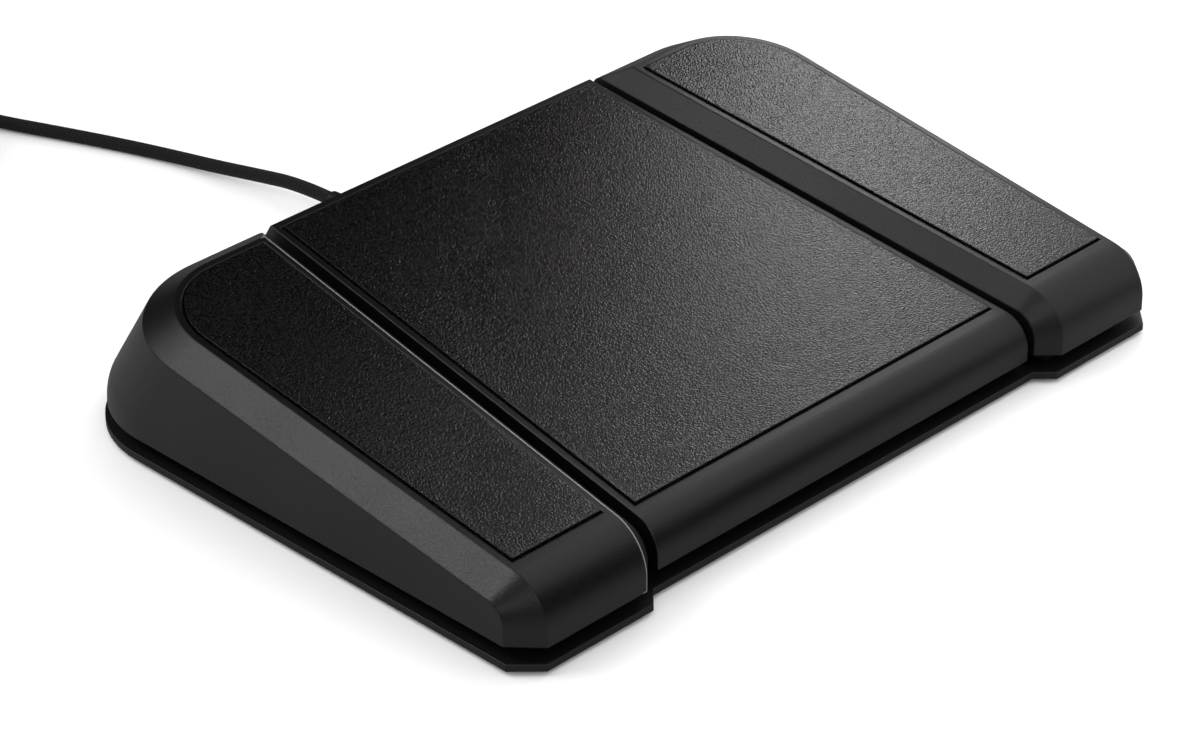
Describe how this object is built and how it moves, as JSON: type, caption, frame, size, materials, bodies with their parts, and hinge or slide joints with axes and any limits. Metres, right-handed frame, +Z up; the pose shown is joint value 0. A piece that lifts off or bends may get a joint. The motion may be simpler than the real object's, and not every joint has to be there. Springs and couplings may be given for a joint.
{
  "type": "usb foot pedal switch",
  "caption": "Black desk foot switch with three sloping, sprung pedals on one steel base plate and a braided USB lead.",
  "frame": {"origin": "on the floor, under the middle of the base plate", "axes": "+X to the right pedal, +Y to the back where the lead leaves, +Z up"},
  "size_m": [0.256, 0.3751, 0.0454],
  "materials": {
    "black_abs": "fine satin black",
    "pad_rubber": "grained black",
    "frame_plastic": "plain black",
    "painted_steel": "powder-coated black",
    "steel": "bright",
    "foot_rubber": "matt",
    "board_green": "solder mask",
    "chip_black": "moulded epoxy",
    "switch_plastic": "plain black",
    "plunger_red": "plain red",
    "lead_grey": "flat lead",
    "plug_black": "moulded overmould",
    "braid": "braided sleeve",
    "plug_metal": "nickel plated",
    "insert_white": "plain"
  },
  "bodies": {
    "base": {"base_plate": "painted_steel", "foot_front_left": "foot_rubber", "foot_front_middle": "foot_rubber", "foot_front_right": "foot_rubber", "foot_back_left": "foot_rubber", "foot_back_middle": "foot_rubber", "foot_back_right": "foot_rubber", "base_screws": "steel", "board_screws": "steel", "left_frame": "frame_plastic", "right_frame": "frame_plastic", "middle_frame": "frame_plastic", "left_hinge_pin": "steel", "right_hinge_pin": "steel", "middle_hinge_pin": "steel", "left_return_spring": "steel", "right_return_spring": "steel", "middle_return_spring": "steel", "left_down_stop": "foot_rubber", "right_down_stop": "foot_rubber", "middle_down_stop": "foot_rubber", "left_switch_board": "board_green", "right_switch_board": "board_green", "main_board": "board_green", "controller_chip": "chip_black", "left_switch_body": "switch_plastic", "right_switch_body": "switch_plastic", "middle_switch_body": "switch_plastic", "left_flat_lead": "lead_grey", "right_flat_lead": "lead_grey", "usb_socket_shell": "plug_metal", "usb_socket_tongue": "chip_black", "usb_c_plug_shell": "plug_metal", "usb_c_plug_body": "plug_black", "cable_strain_relief": "plug_black", "cable_run": "braid", "cable_tail": "braid", "cable_coil": "braid", "cable_tie": "plug_black", "usb_a_plug_body": "plug_black", "usb_a_plug_shell": "plug_metal", "usb_a_plug_insert": "insert_white"},
    "left_pedal": {"left_pedal_shell": "black_abs", "left_pedal_pad": "pad_rubber"},
    "left_plunger": {"left_switch_plunger": "plunger_red"},
    "middle_pedal": {"middle_pedal_shell": "black_abs", "middle_pedal_pad": "pad_rubber"},
    "middle_plunger": {"middle_switch_plunger": "plunger_red"},
    "right_pedal": {"right_pedal_shell": "black_abs", "right_pedal_pad": "pad_rubber"},
    "right_plunger": {"right_switch_plunger": "plunger_red"}
  },
  "joints": [
    {"name": "left_pedal_hinge", "type": "hinge", "parent": "base", "child": "left_pedal", "pos_m": [-0.097, 0.068, 0.0135], "axis": [1, 0, 0], "range_deg": [0, 1.2], "stiffness_Nm_per_rad": 70, "springref_deg": -1.2, "deforming": ["left_return_spring"]},
    {"name": "left_switch_travel", "type": "slide", "parent": "base", "child": "left_plunger", "axis": [0, 0, -1], "range_m": [0, 0.0018], "stiffness_N_per_m": 0.01, "springref_m": -0.0336},
    {"name": "middle_pedal_hinge", "type": "hinge", "parent": "base", "child": "middle_pedal", "pos_m": [0, 0.068, 0.0135], "axis": [1, 0, 0], "range_deg": [0, 1.2], "stiffness_Nm_per_rad": 70, "springref_deg": -1.2, "deforming": ["middle_return_spring"]},
    {"name": "middle_switch_travel", "type": "slide", "parent": "base", "child": "middle_plunger", "axis": [0, 0, -1], "range_m": [0, 0.0018], "stiffness_N_per_m": 0.01, "springref_m": -0.0336},
    {"name": "right_pedal_hinge", "type": "hinge", "parent": "base", "child": "right_pedal", "pos_m": [0.097, 0.068, 0.0135], "axis": [1, 0, 0], "range_deg": [0, 1.2], "stiffness_Nm_per_rad": 70, "springref_deg": -1.2, "deforming": ["right_return_spring"]},
    {"name": "right_switch_travel", "type": "slide", "parent": "base", "child": "right_plunger", "axis": [0, 0, -1], "range_m": [0, 0.0018], "stiffness_N_per_m": 0.01, "springref_m": -0.0336}
  ],
  "couplings": [
    {"joint": "left_switch_travel", "follows": "left_pedal_hinge", "m_per_rad": 0.083},
    {"joint": "middle_switch_travel", "follows": "middle_pedal_hinge", "m_per_rad": 0.083},
    {"joint": "right_switch_travel", "follows": "right_pedal_hinge", "m_per_rad": 0.083}
  ]
}
